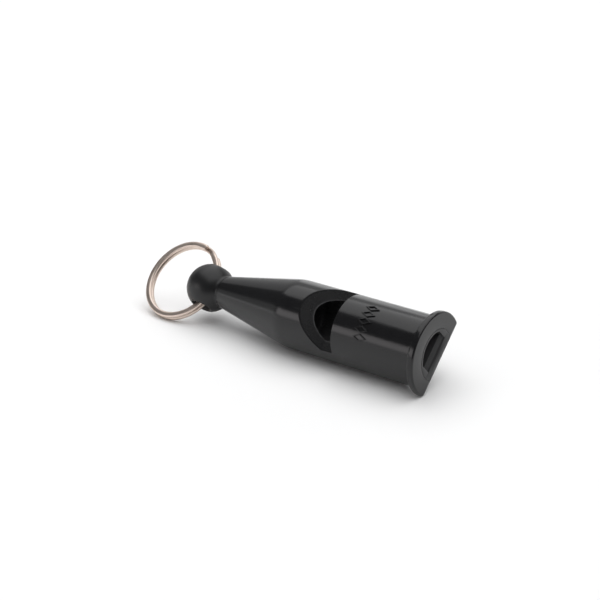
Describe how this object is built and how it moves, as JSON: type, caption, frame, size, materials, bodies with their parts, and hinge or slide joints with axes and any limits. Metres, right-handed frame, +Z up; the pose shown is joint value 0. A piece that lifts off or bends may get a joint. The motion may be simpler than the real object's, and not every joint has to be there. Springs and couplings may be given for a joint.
{
  "type": "training whistle",
  "caption": "Pealess dog-training whistle: black tubular body with a lipped mouthpiece, slanted sound window, cone tail and ball, on a swinging split ring.",
  "frame": {"origin": "centre of the object's bounding box in plan, on the surface that it lies on", "axes": "+X along the barrel's axis towards the mouth, +Z up from the surface that it lies on, and the window facing up and towards -Y"},
  "size_m": [0.08, 0.0172, 0.0169],
  "materials": {
    "black_plastic": "moulded black ABS, glossy barrel and satin ball",
    "block_plastic": "moulded black ABS, slightly duller than the body",
    "nickel_plate": "nickel-plated spring steel, polished, warm grey"
  },
  "bodies": {
    "whistle": {"body": "black_plastic", "windway_block": "block_plastic"},
    "ring": {"split_ring": "nickel_plate"}
  },
  "joints": [
    {"name": "ring_swing", "type": "hinge", "parent": "whistle", "child": "ring", "pos_m": [-0.02126, 0.00053, 0.00775], "axis": [0, 0.7274, 0.6862], "range_deg": [-152, 158.5]}
  ]
}
